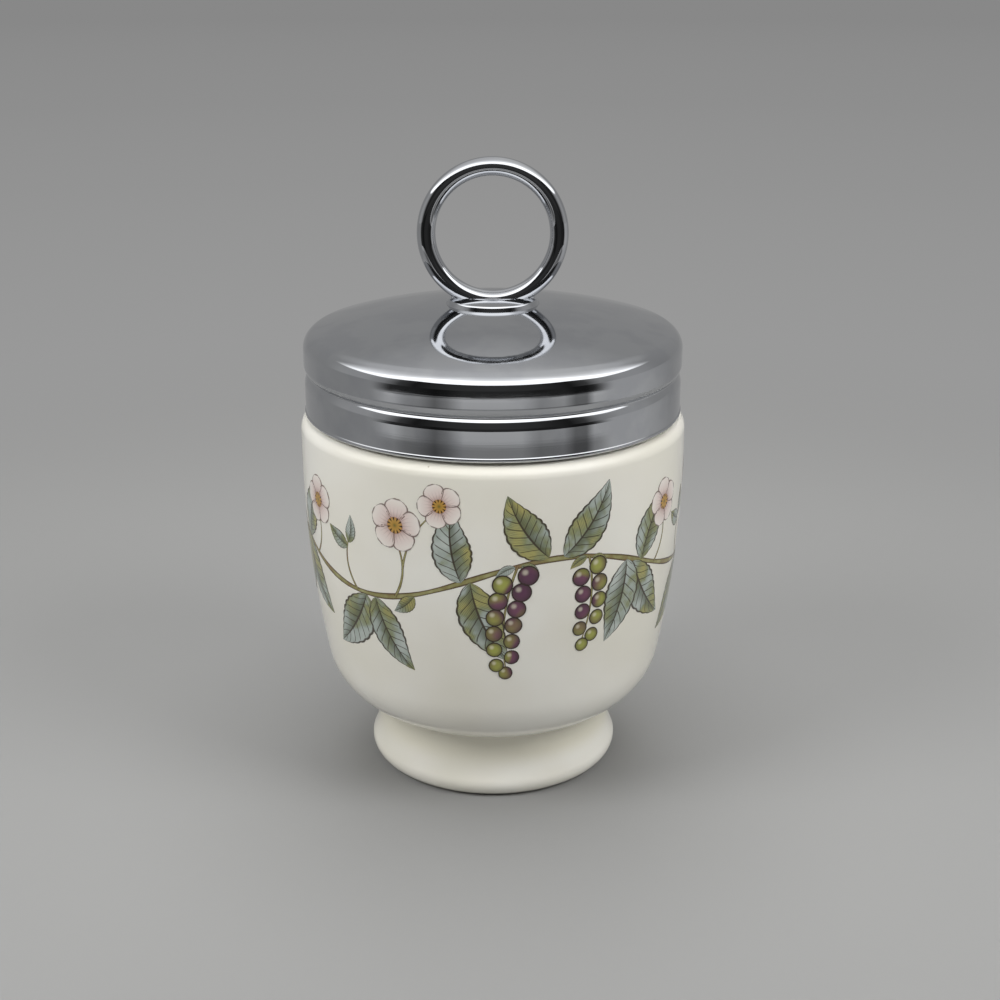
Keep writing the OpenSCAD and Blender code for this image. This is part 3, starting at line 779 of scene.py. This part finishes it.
neck_ridge_z = (SHOULDER_Z + RIM_Z) / 2 - NECK_TURNS * PITCH / 2 + RIDGE_BASE / 4
ridge_pair = (RIDGE_BASE + RIDGE_CREST + CREST_GAP * (RIDGE_BASE - RIDGE_CREST) / RIDGE_H) / 2
lid_ridge_z = neck_ridge_z - ridge_pair - THREAD_SLACK


def ridge_section(wall_r, side, z):
    """Section of a ridge with a rounded crest, with its root under the wall's surface."""
    lean = (RIDGE_BASE - RIDGE_CREST) / 2 / RIDGE_H
    flank = math.atan2(1, lean)
    centre_z = RIDGE_CREST / 2 - CREST_ROUND * math.tan(flank / 2)
    upper = arc((RIDGE_H - CREST_ROUND, centre_z), CREST_ROUND, 0, math.degrees(flank), step=12)
    upper.append((-RIDGE_SINK, RIDGE_BASE / 2 + RIDGE_SINK * lean, 0))
    lower = [(out, -up, a) for out, up, a in reversed(upper)]
    return [(wall_r + side * out, z + up, a) for out, up, a in lower + upper]


def swept_ridge(wall_r, side, start_z, turns):
    """A ridge that climbs round a wall, outwards (1) or inwards (-1), and fades out at its ends."""
    piece = drawn(ridge_section(wall_r, side, start_z), closed=True)
    bpy.ops.mesh.edge_face_add()
    root = wall_r - side * RIDGE_SINK
    count = round(turns * RIDGE_STEPS)
    turn = math.tau / RIDGE_STEPS
    height = RUN_OUT
    bpy.ops.transform.resize(value=(height, 1, 1), center_override=(root, 0, start_z))
    for i in range(1, count + 1):
        bpy.ops.mesh.extrude_region_move(TRANSFORM_OT_translate={"value": (0, 0, PITCH / RIDGE_STEPS)})
        bpy.ops.transform.rotate(value=-turn, orient_axis="Z", center_override=(0, 0, 0))
        run = min(1, i / RUN_OUT_STEPS, (count - i) / RUN_OUT_STEPS)
        wanted = RUN_OUT + (1 - RUN_OUT) * (1 - math.cos(math.pi * run)) / 2
        if abs(wanted / height - 1) > SAME:
            at = (root * math.cos(turn * i), root * math.sin(turn * i), 0)
            bpy.ops.transform.resize(value=(wanted / height, wanted / height, 1), center_override=at)
            height = wanted
    face_outwards()
    return piece


neck_ridge = finished(swept_ridge(NECK_R, 1, neck_ridge_z, NECK_TURNS), "neck_thread", "cup",
                      porcelain)
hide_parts("cup")
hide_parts("cup")

# ---------------------------------------------------------------- lid shell

LID_R, BAND_STEP, SHELL_T = 31.75 * MM, 0.1 * MM, 0.4 * MM
LID_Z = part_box("lid_shell")[0][2]
SIDE_H, CROWN_ROUND, CROWN_SLOPE = 11.0 * MM, 3.0 * MM, 16.5
GROOVE_H, GROOVE_ANGLE, GROOVE_ROUND = 6.9 * MM, 36.0, 0.3 * MM
GROOVE_LOW, GROOVE_HIGH = 3.3 * MM, 2.0 * MM
HEM_R, HEM_PROUD = 0.45 * MM, 0.15 * MM
RIVET_R = 1.5 * MM

low_band = LID_R - BAND_STEP
side_top = LID_Z + SIDE_H
crown_turn = 90 - CROWN_SLOPE
crown_edge = LID_R - CROWN_ROUND * (1 - math.cos(math.radians(crown_turn)))
crown_r = crown_edge / math.sin(math.radians(CROWN_SLOPE))
crown_edge_z = side_top + CROWN_ROUND * math.sin(math.radians(crown_turn))
crown_centre = crown_edge_z - crown_r * math.cos(math.radians(CROWN_SLOPE))


def crown_z(r, depth=0.0):
    """Height of the crown's surface, or of one that lies that deep under it."""
    return crown_centre + math.sqrt((crown_r - depth) ** 2 - r ** 2)


def lid_outline():
    """The outside from the hem up to the rivet's hole, and the inside back down."""
    slope = math.radians(GROOVE_ANGLE)
    groove_z = LID_Z + GROOVE_H
    low_z = groove_z - GROOVE_LOW * math.sin(slope)
    low_turn = degrees_of((groove_z - low_z) / (GROOVE_LOW + GROOVE_ROUND))
    notch_r = low_band - GROOVE_LOW + (GROOVE_LOW + GROOVE_ROUND) * math.cos(math.radians(low_turn))
    flank_r = notch_r - GROOVE_ROUND * math.cos(slope)
    flank_z = groove_z + GROOVE_ROUND * math.sin(slope)
    high_start_r = LID_R - GROOVE_HIGH * (1 - math.cos(slope))
    high_z = flank_z + (high_start_r - flank_r) / math.tan(slope) + GROOVE_HIGH * math.sin(slope)
    outside = ([(low_band, LID_Z + 2 * HEM_R, 0)]
               + arc((low_band - GROOVE_LOW, low_z), GROOVE_LOW, 0, low_turn)
               + arc((notch_r, groove_z), GROOVE_ROUND, 180 + low_turn, 180 - GROOVE_ANGLE, step=12,
                     hollow=True)
               + arc((LID_R - GROOVE_HIGH, high_z), GROOVE_HIGH, -GROOVE_ANGLE, 0)
               + arc((LID_R - CROWN_ROUND, side_top), CROWN_ROUND, 0, crown_turn)
               + arc((0, crown_centre), crown_r, crown_turn, 90 - degrees_of(RIVET_R / crown_r), step=0.5))
    hem_centre = (low_band + HEM_PROUD - HEM_R, LID_Z + HEM_R)
    outer_turn = math.degrees(math.acos((low_band - hem_centre[0]) / HEM_R))
    inner_turn = math.degrees(math.acos((low_band - SHELL_T - hem_centre[0]) / HEM_R))
    hem = arc(hem_centre, HEM_R, inner_turn - 360, outer_turn, step=12)
    return hem + outside + inward(outside, SHELL_T)[::-1]


lid = finished(turned(lid_outline()), "lid_cap", "lid", chrome)
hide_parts("lid_shell")

# ---------------------------------------------------------------- inside the lid

BAND_T, BAND_GAP, BAND_LIP_H = 0.4 * MM, 0.02 * MM, 0.5 * MM
SEAL_GAP, SEAL_MOUTH_GAP, SEAL_STEPS = 0.02 * MM, 0.1 * MM, 8
WASHER_R, HEAD_R, RIVET_GAP, HEAD_STEPS = 5.0 * MM, 3.0 * MM, 0.02 * MM, 12
STEEL_EDGE, RUBBER_EDGE, COLLAR_EDGE = 0.12 * MM, 0.25 * MM, 0.03 * MM

band_low, band_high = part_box("thread_band")[0][2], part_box("thread_band")[1][2]
band_inner = NECK_R + RIDGE_H + CREST_GAP
band_outer = band_inner + BAND_T
band_lip = low_band - SHELL_T - BAND_GAP
lip_top = band_low + BAND_LIP_H
band = turned([(band_inner, band_low, 0), (band_lip, band_low, 0), (band_lip, lip_top, 0),
               (band_outer, lip_top, 0), (band_outer, band_high, 0), (band_inner, band_high, 0)])
band = finished(eased(band, STEEL_EDGE), "threaded_band", "lid", steel)
band_ridge = finished(swept_ridge(band_inner, -1, lid_ridge_z, LID_TURNS), "band_thread", "lid",
                      steel)
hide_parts("thread_band")
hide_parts("thread_band")

seal_low, seal_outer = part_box("seal_ring")[0][2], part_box("seal_ring")[1][0]
seal_inner = MOUTH_R + SEAL_MOUTH_GAP
seal_top = []
for i in range(SEAL_STEPS + 1):
    r = seal_outer + (seal_inner - seal_outer) * i / SEAL_STEPS
    seal_top.append((r, crown_z(r, SHELL_T) - SEAL_GAP, 0))
seal = turned([(seal_inner, seal_low, 0), (seal_outer, seal_low, 0)] + seal_top)
seal = finished(eased(seal, RUBBER_EDGE), "sealing_ring", "seal", rubber)
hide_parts("seal_ring")

washer_low, washer_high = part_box("rivet_washer")[0][2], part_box("rivet_washer")[1][2]
washer_hole = RIVET_R + RIVET_GAP
washer = turned([(washer_hole, washer_low, 0), (WASHER_R, washer_low, 0), (WASHER_R, washer_high, 0),
                 (washer_hole, washer_high, 0)])
washer = finished(eased(washer, STEEL_EDGE), "plain_washer", "lid", steel)
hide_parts("rivet_washer")

head_low, shank_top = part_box("handle_rivet")[0][2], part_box("handle_rivet")[1][2]
head_top = washer_low - RIVET_GAP


def rivet_outline():
    head = []
    for i in range(HEAD_STEPS + 1):
        turn = math.radians(90 - 90 * i / HEAD_STEPS)
        head.append((HEAD_R * math.cos(turn), head_top - (head_top - head_low) * math.sin(turn), 0))
    return head + [(RIVET_R, head_top, 0), (RIVET_R, shank_top, 0), (0, shank_top, 0)]


rivet = turned(rivet_outline(), closed=False, steps=AROUND // 2)
rivet = finished(rivet, "closed_rivet", "lid", steel)
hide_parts("handle_rivet")

# ---------------------------------------------------------------- ring and collar

COLLAR_R, COLLAR_FOOT_R = 7.6 * MM, 7.8 * MM
RIM_SLOPE_W, RIM_SLOPE_H, COLLAR_WALL_H = 0.22 * MM, 0.35 * MM, 0.16 * MM
COLLAR_TOP, COLLAR_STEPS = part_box("ring_collar")[1][2], 7


def collar_outline():
    """A rim and a foot that slope to catch the light, with a narrow upright wall between them."""
    rim_low = COLLAR_TOP - RIM_SLOPE_H
    under = [COLLAR_FOOT_R + (RIVET_R - COLLAR_FOOT_R) * i / COLLAR_STEPS for i in range(COLLAR_STEPS + 1)]
    return ([(RIVET_R, COLLAR_TOP, 0), (COLLAR_R - RIM_SLOPE_W, COLLAR_TOP, 0), (COLLAR_R, rim_low, 0),
             (COLLAR_R, rim_low - COLLAR_WALL_H, 0)]
            + [(r, crown_z(r), 0) for r in under])


collar = finished(eased(turned(collar_outline()), COLLAR_EDGE), "ring_foot_collar", "lid", chrome)
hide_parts("ring_collar")


def ring_of_wire():
    """A ring of round wire, standing up and cut flat where it meets the collar."""
    bpy.ops.mesh.primitive_torus_add(location=(0, 0, RING_Z), rotation=(math.pi / 2, 0, 0),
                                     major_segments=AROUND, minor_segments=AROUND // 4,
                                     major_radius=RING_R - WIRE_R, minor_radius=WIRE_R)
    piece = bpy.context.object
    bpy.ops.object.transform_apply(location=True, rotation=True, scale=True)
    bpy.ops.object.mode_set(mode="EDIT")
    bpy.ops.mesh.select_all(action="SELECT")
    bpy.ops.mesh.bisect(plane_co=(0, 0, COLLAR_TOP), plane_no=(0, 0, 1), use_fill=True, clear_inner=True)
    bpy.ops.object.mode_set(mode="OBJECT")
    return piece


ring = finished(ring_of_wire(), "lifting_ring", "lid", wire)
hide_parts("ring_handle")

# The fillet's reach past the ring's ends and sides, its height, and how far it goes into the collar, then
# half its width at the top, and how far its top lies in the wire
BRAZE_LONG, BRAZE_WIDE, BRAZE_UP, BRAZE_SINK = 0.6 * MM, 0.7 * MM, 0.45 * MM, 0.05 * MM
BRAZE_TOP_HALF, BRAZE_IN_WIRE, BRAZE_STEPS = 1.3 * MM, 0.03 * MM, 6


def braze_round_ring():
    """A hollow fillet of braze round the foot of the ring. Its middle and its top lie in the wire."""
    bpy.ops.mesh.primitive_circle_add(vertices=AROUND // 2, radius=1.0, fill_type="NGON",
                                      location=(0, 0, COLLAR_TOP - BRAZE_SINK))
    piece = bpy.context.object
    bpy.ops.object.transform_apply(location=True, rotation=True, scale=True)
    bpy.ops.object.mode_set(mode="EDIT")
    bpy.ops.mesh.select_all(action="SELECT")
    long, wide, height = 1.0, 1.0, -BRAZE_SINK
    for i in range(BRAZE_STEPS + 2):
        turn = math.radians(90 / BRAZE_STEPS * max(0, i - 1))
        rise = BRAZE_UP * (1 - math.cos(turn))
        if i > 0:
            bpy.ops.mesh.extrude_region_move(TRANSFORM_OT_translate={"value": (0, 0, rise - height)})
            height = rise
        wire_reach = math.sqrt(RING_R ** 2 - (RING_Z - COLLAR_TOP - rise) ** 2)
        new_long = wire_reach - BRAZE_IN_WIRE + BRAZE_LONG * (1 - math.sin(turn))
        new_wide = BRAZE_TOP_HALF + BRAZE_WIDE * (1 - math.sin(turn))
        bpy.ops.transform.resize(value=(new_long / long, new_wide / wide, 1), center_override=(0, 0, 0))
        long, wide = new_long, new_wide
    face_outwards()
    return piece


finished(braze_round_ring(), "braze_fillet", "lid", chrome)

# ---------------------------------------------------------------- floor, light and camera

FLOOR_SIZE = 8.0
# What polished metal sees of the floor: a painted reflection, where the paper glows at set levels instead of
# being lit. In front: levels by distance from the object in metres, with painted shade nearer the object, a
# bright strip, and dark beyond the paper's end, and what is left of them by direction, in degrees from
# straight ahead to the right, where painted dark patches stand in for the shadows of stands
PAPER_REACH = 0.5
PAINTED_PAPER_LEVELS = [(0.20, 0.32), (0.23, 0.27), (0.244, 0.27), (0.256, 0.50), (0.28, 0.52), (0.296, 0.60),
                (0.301, 0.06), (0.31, 0.03)]
STAND_SHADOWS = [(-57, 1.0), (-50, 0.7), (-41, 0.55), (-32, 0.3), (-25, 0.5), (-16, 1.0), (16, 1.0),
                 (26, 0.65), (40, 0.75), (47, 0.35), (54, 0.35), (59, 1.0)]
# Beside and behind the object, also a painted reflection for metal: levels by direction
SIDE_LEVELS = [(-130, 0.31), (-100, 0.30), (-50, 0.35), (50, 0.5), (95, 0.48), (130, 0.31)]
# The directions over which the front gives way to the sides, and the distances, in metres, over which
# these levels take over from the real paper
FRONT_WHOLE, FRONT_ENDS = 58 * DEGREE, 74 * DEGREE
MIRRORED_STARTS, MIRRORED_WHOLE = 0.14, 0.2
# What gloss and metal see of the room, in degrees. In front: levels by height over the soft box's bright
# lower part, and under the box by direction from straight ahead. At the back: levels by elevation
ABOVE_BOX = [(0, 2.1), (3, 1.5), (6, 1.36), (13, 1.1), (19, 0.93), (26, 0.82), (33, 0.76), (60, 0.70)]
UNDER_BOX = [(0, 0.05), (25, 0.04), (46, 0.015), (56, 0.06), (66, 0.3), (80, 0.42), (105, 0.42), (120, 0.35)]
BACK_LEVELS = [(0, 0.30), (33, 0.34), (40, 0.43), (44, 0.49), (48, 0.60), (57, 0.65), (75, 0.70), (90, 0.74)]
BACK_STARTS, BACK_WHOLE = 90 * DEGREE, 120 * DEGREE
# The elevation that the box's levels are counted from, and the one where the box begins, at the front and
# at the sides, and the directions between which each of them comes down
COUNT_TURNS, COUNT_HEIGHTS = (35 * DEGREE, 100 * DEGREE), (57 * DEGREE, 30 * DEGREE)
EDGE_TURNS, EDGE_HEIGHTS = (45 * DEGREE, 75 * DEGREE), (32 * DEGREE, 24 * DEGREE)
EDGE_SOFT = 2.5 * DEGREE
# The camera sees the far paper glow at levels that fall with distance, a painted fall-off of light that runs
# into the grey backdrop: levels by distance, and the distances over which they take over, in metres.
# PLAIN_LEVEL is what the room gives to everything else
PAINTED_FALLOFF_LEVELS = [(0.13, 0.345), (0.3, 0.32), (0.46, 0.307), (0.71, 0.29), (1.2, 0.27), (2.7, 0.246)]
FAR_STARTS, FAR_WHOLE = 0.13, 0.32
BACKDROP, PLAIN_LEVEL = 0.246, 0.27
WHITE = (1.0, 1.0, 1.0, 1.0)
# Soft lamps: name, place, size and power
SOFT_LAMPS = [("overhead_lamp", (0.0, 0.02, 0.4), 0.3, 0.9), ("left_lamp", (-0.35, -0.2, 0.36), 0.25, 1.28),
              ("right_lamp", (0.35, -0.2, 0.36), 0.25, 1.28), ("back_lamp", (0.0, 0.55, 0.6), 0.5, 1.0)]

CAMERA_AT = (1.2 * MM, -260.0 * MM, 138.8 * MM)
CAMERA_PITCH = 19.557
LENS, SENSOR = 57.06, 36.0
NEAREST, FARTHEST = 0.01, 20.0


def floor():
    """Plain grey paper near the object. Further out the paper glows at set levels instead of being lit:
    polished metal sees a painted reflection of the paper ending in front, with painted shade and painted
    shadows of stands on it, and the camera sees a painted fall-off of light that fades it into the backdrop."""
    bpy.ops.mesh.primitive_plane_add(size=FLOOR_SIZE, location=(0, 0, 0))
    piece = bpy.context.object
    piece.name = "studio_floor"
    material, tree, paper = new_material("grey_paper")
    plug(paper, Base_Color=linear("#90908f"), Roughness=0.9)
    place = add(tree, "TexCoord").outputs["Object"]
    away = add(tree, "VectorMath", LENGTH, i0=place).outputs["Value"]
    x, y, _ = add(tree, "SeparateXYZ", i0=place).outputs
    turn, aside = turn_from_front(tree, x, y)
    ray = add(tree, "LightPath").outputs
    # Painted reflection for metal in front: glowing levels with painted shade, a bright strip and painted
    # shadows of stands
    level = level_at(tree, away, 0.0, PAPER_REACH, PAINTED_PAPER_LEVELS)
    stands = level_at(tree, turn, -90.0, 90.0, STAND_SHADOWS, DEGREE)
    strength = add(tree, "Math", MULTIPLY, i0=level, i1=stands)
    room = add(tree, "Emission", Color=WHITE, Strength=strength)
    ahead = add(tree, "MapRange", SMOOTH, Value=aside, From_Min=FRONT_ENDS, From_Max=FRONT_WHOLE)
    off = add(tree, "MapRange", SMOOTH, Value=away, From_Min=MIRRORED_STARTS, From_Max=MIRRORED_WHOLE)
    there = add(tree, "Math", MULTIPLY, i0=ahead, i1=off)
    shade = add(tree, "Math", MULTIPLY, i0=there, i1=ray["Is Glossy Ray"])
    # Painted fall-off of light on the far paper for the camera, and a painted reflection beside and behind
    # for metal
    grey = level_at(tree, away, 0.0, PAINTED_FALLOFF_LEVELS[-1][0], PAINTED_FALLOFF_LEVELS)
    sides = level_at(tree, turn, -180.0, 180.0, SIDE_LEVELS, DEGREE)
    distant = add(tree, "Mix", NUMBERS, i0=ray["Is Camera Ray"], i2=sides, i3=grey)
    plain = add(tree, "Emission", Color=WHITE, Strength=distant)
    fades = add(tree, "MapRange", SMOOTH, Value=away, From_Min=FAR_STARTS, From_Max=FAR_WHOLE)
    shown = add(tree, "Math", MULTIPLY, i0=fades, i1=ray["Is Camera Ray"])
    seen = add(tree, "Math", MULTIPLY_ADD, i0=off, i1=ray["Is Glossy Ray"], i2=shown)
    both = add(tree, "MixShader", i0=seen, i1=paper, i2=plain)
    both = add(tree, "MixShader", i0=shade, i1=both, i2=room)
    plug(next(node for node in tree.nodes if node.type == "OUTPUT_MATERIAL"), Surface=both)
    piece.data.materials.append(material)


def camera():
    data = bpy.data.cameras.new("camera")
    data.lens = LENS
    data.sensor_width = SENSOR
    data.clip_start = NEAREST
    data.clip_end = FARTHEST
    rig = bpy.data.objects.new("camera", data)
    rig.location = CAMERA_AT
    rig.rotation_euler = (math.radians(90 - CAMERA_PITCH), 0, 0)
    bpy.context.collection.objects.link(rig)
    bpy.context.scene.camera = rig


def soft_lamp(name, place, size, power):
    """A soft round lamp aimed at the foot. Metal sees the room's own bright part instead of it."""
    data = bpy.data.lights.new(name, "AREA")
    data.shape = "DISK"
    data.size = size
    data.energy = power
    lamp = bpy.data.objects.new(name, data)
    lamp.location = place
    tilt = math.atan2(math.hypot(place[0], place[1]), place[2])
    lamp.rotation_euler = (tilt, 0, math.atan2(-place[0], place[1]) + math.pi)
    lamp.visible_glossy = False
    bpy.context.collection.objects.link(lamp)


def studio():
    """The room that gloss and metal show: a soft box above the camera that bends down round both sides,
    dark under the box, and grey at the back. Everything else gets a plain low light from it."""
    world = bpy.data.worlds.new("studio")
    bpy.context.scene.world = world
    world.use_nodes = True
    tree = world.node_tree
    tree.nodes.clear()
    x, y, z = add(tree, "SeparateXYZ", i0=add(tree, "TexCoord").outputs["Generated"]).outputs
    _, aside = turn_from_front(tree, x, y)
    rise = add(tree, "Math", {"operation": "ARCSINE"}, i0=z)
    heights = []
    for (near, far), (high, low) in ((COUNT_TURNS, COUNT_HEIGHTS), (EDGE_TURNS, EDGE_HEIGHTS)):
        start = add(tree, "MapRange", SMOOTH, Value=aside, From_Min=near, From_Max=far, To_Min=high,
                    To_Max=low)
        heights.append(add(tree, "Math", SUBTRACT, i0=rise, i1=start))
    box = level_at(tree, heights[0], 0.0, ABOVE_BOX[-1][0], ABOVE_BOX, DEGREE)
    under = level_at(tree, aside, 0.0, 180.0, UNDER_BOX, DEGREE)
    back = level_at(tree, rise, 0.0, 90.0, BACK_LEVELS, DEGREE)
    lit = add(tree, "MapRange", SMOOTH, Value=heights[1], From_Min=0.0, From_Max=EDGE_SOFT)
    ahead = add(tree, "Mix", NUMBERS, i0=lit, i2=under, i3=box)
    behind = add(tree, "MapRange", SMOOTH, Value=aside, From_Min=BACK_STARTS, From_Max=BACK_WHOLE)
    level = add(tree, "Mix", NUMBERS, i0=behind, i2=ahead, i3=back)
    ray = add(tree, "LightPath").outputs
    mirrored = add(tree, "Mix", NUMBERS, i0=ray["Is Glossy Ray"], i2=PLAIN_LEVEL, i3=level)
    shown = add(tree, "Mix", NUMBERS, i0=ray["Is Camera Ray"], i2=mirrored, i3=BACKDROP)
    add(tree, "OutputWorld", Surface=add(tree, "Background", Color=WHITE, Strength=shown))


floor()
camera()
for lamp in SOFT_LAMPS:
    soft_lamp(*lamp)
studio()

bpy.context.scene.view_settings.view_transform = "Standard"
